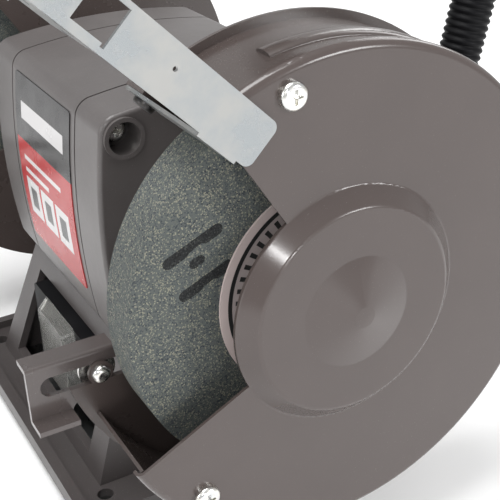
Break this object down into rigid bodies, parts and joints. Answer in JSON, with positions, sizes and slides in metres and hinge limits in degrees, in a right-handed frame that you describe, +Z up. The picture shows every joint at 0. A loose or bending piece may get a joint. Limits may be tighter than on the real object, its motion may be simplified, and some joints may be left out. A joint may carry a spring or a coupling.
{
  "type": "bench grinder with work lamp",
  "caption": "Bench grinder with a wheel in a guard at each end of a central motor, sliding tool rests and eye shields, a rocker switch and a flexible work lamp.",
  "frame": {"origin": "centre of the four bench bolt holes, on the bench under the rubber feet", "axes": "+X along the spindle to the lamp side, +Y to the back, +Z up; the wheels face -Y"},
  "size_m": [0.3246, 0.3018, 0.3386],
  "materials": {
    "base_paint": "light grey paint on an iron casting",
    "foot_rubber": "matt",
    "zinc_plate": "zinc plated steel",
    "black_steel": "blackened steel",
    "black_plastic": "matt black moulding",
    "rocker_plastic": "glossy black moulding",
    "boot_clear": "clear flexible dust boot",
    "capacitor_can": "drawn can",
    "motor_paint": "semi-gloss taupe paint on an aluminium casting",
    "label_print": null,
    "lamination": "stacked sheet steel",
    "copper": "lacquered copper winding",
    "bearing_steel": "turned steel",
    "abrasive": "opaque vitrified abrasive grain",
    "paper": "printed paper ring",
    "guard_paint": "semi-gloss taupe paint",
    "cover_paint": "glossy taupe paint",
    "rest_paint": "glossy taupe paint",
    "pane_clear": "clear polycarbonate",
    "neck_rubber": "black corrugated sleeve",
    "lamp_black": "satin black paint",
    "socket_plastic": "cream moulding",
    "bulb_glass": "frosted"
  },
  "bodies": {
    "stand": {"base_casting": "base_paint", "rubber_feet": "foot_rubber", "bottom_plate": "zinc_plate", "switch_box": "black_plastic", "switch_body": "black_plastic", "switch_boot": "boot_clear", "capacitor": "capacitor_can", "terminal_block": "black_plastic", "cable_gland": "black_plastic", "motor_band": "motor_paint", "end_cap_right": "motor_paint", "end_cap_left": "motor_paint", "bearing_neck_right": "motor_paint", "bearing_neck_left": "motor_paint", "through_bolts": "zinc_plate", "front_label": "label_print", "stator_core": "lamination", "stator_windings": "copper", "bearing_right": "bearing_steel", "bearing_left": "bearing_steel", "guard_plate_right": "guard_paint", "guard_plate_left": "guard_paint", "guard_right": "guard_paint", "guard_left": "guard_paint", "guard_cover_right": "cover_paint", "guard_cover_left": "cover_paint", "cover_screws": "zinc_plate", "guard_screws": "zinc_plate", "rest_bolts": "zinc_plate", "shield_bolts": "black_steel", "lamp_ferrule": "lamp_black"},
    "rotor": {"rotor_core": "lamination", "spindle": "bearing_steel", "bearing_inner_races": "bearing_steel", "wheel_right": "abrasive", "wheel_left": "abrasive", "blotters_right": "paper", "blotters_left": "paper", "inner_flange_right": "bearing_steel", "inner_flange_left": "bearing_steel", "outer_flange_right": "bearing_steel", "outer_flange_left": "bearing_steel", "wheel_nut_right": "bearing_steel", "wheel_nut_left": "bearing_steel"},
    "tool_rest_right": {"tool_rest_bracket_right": "rest_paint"},
    "tool_rest_left": {"tool_rest_bracket_left": "rest_paint"},
    "shield_right": {"shield_bracket_right": "zinc_plate", "eye_shield_right": "pane_clear", "pane_screws_right": "zinc_plate"},
    "shield_left": {"shield_bracket_left": "zinc_plate", "eye_shield_left": "pane_clear", "pane_screws_left": "zinc_plate"},
    "rocker": {"rocker": "rocker_plastic"},
    "lamp_lower": {"gooseneck_lower": "neck_rubber"},
    "lamp_middle": {"gooseneck_middle": "neck_rubber"},
    "lamp_upper": {"gooseneck_upper": "neck_rubber"},
    "lamp_head": {"lamp_shell": "lamp_black", "lamp_socket": "socket_plastic", "bulb": "bulb_glass"},
    "lamp_button": {"lamp_button": "lamp_black"}
  },
  "joints": [
    {"name": "rotor_spin", "type": "hinge", "parent": "stand", "child": "rotor", "pos_m": [0, 0, 0.12], "axis": [1, 0, 0], "continuous": true},
    {"name": "tool_rest_slide_right", "type": "slide", "parent": "stand", "child": "tool_rest_right", "axis": [0, 1, 0], "range_m": [-0.008, 0.002]},
    {"name": "tool_rest_slide_left", "type": "slide", "parent": "stand", "child": "tool_rest_left", "axis": [0, 1, 0], "range_m": [-0.008, 0.002]},
    {"name": "shield_slide_right", "type": "slide", "parent": "stand", "child": "shield_right", "axis": [0, -0.7071, 0.7071], "range_m": [-0.001, 0.004]},
    {"name": "shield_slide_left", "type": "slide", "parent": "stand", "child": "shield_left", "axis": [0, -0.7071, 0.7071], "range_m": [-0.001, 0.004]},
    {"name": "rocker_tilt", "type": "hinge", "parent": "stand", "child": "rocker", "pos_m": [0, -0.053, 0.03695], "axis": [1, 0, 0], "range_deg": [-14, 0]},
    {"name": "lamp_base_bend", "type": "hinge", "parent": "stand", "child": "lamp_lower", "pos_m": [0.055, 0.0934, 0.036], "axis": [1, 0, 0], "range_deg": [-20, 8]},
    {"name": "lamp_middle_bend", "type": "hinge", "parent": "lamp_lower", "child": "lamp_middle", "pos_m": [0.055, 0.13966, 0.21616], "axis": [1, 0, 0], "range_deg": [-30, 12]},
    {"name": "lamp_upper_bend", "type": "hinge", "parent": "lamp_middle", "child": "lamp_upper", "pos_m": [0.055, 0.11895, 0.29343], "axis": [1, 0, 0], "range_deg": [-30, 12]},
    {"name": "lamp_head_tilt", "type": "hinge", "parent": "lamp_upper", "child": "lamp_head", "pos_m": [0.055, 0.05273, 0.32864], "axis": [1, 0, 0], "range_deg": [-45, 10]},
    {"name": "lamp_button_press", "type": "slide", "parent": "lamp_head", "child": "lamp_button", "axis": [-1, 0, 0], "range_m": [0, 0.002], "stiffness_N_per_m": 200, "springref_m": -0.002}
  ]
}
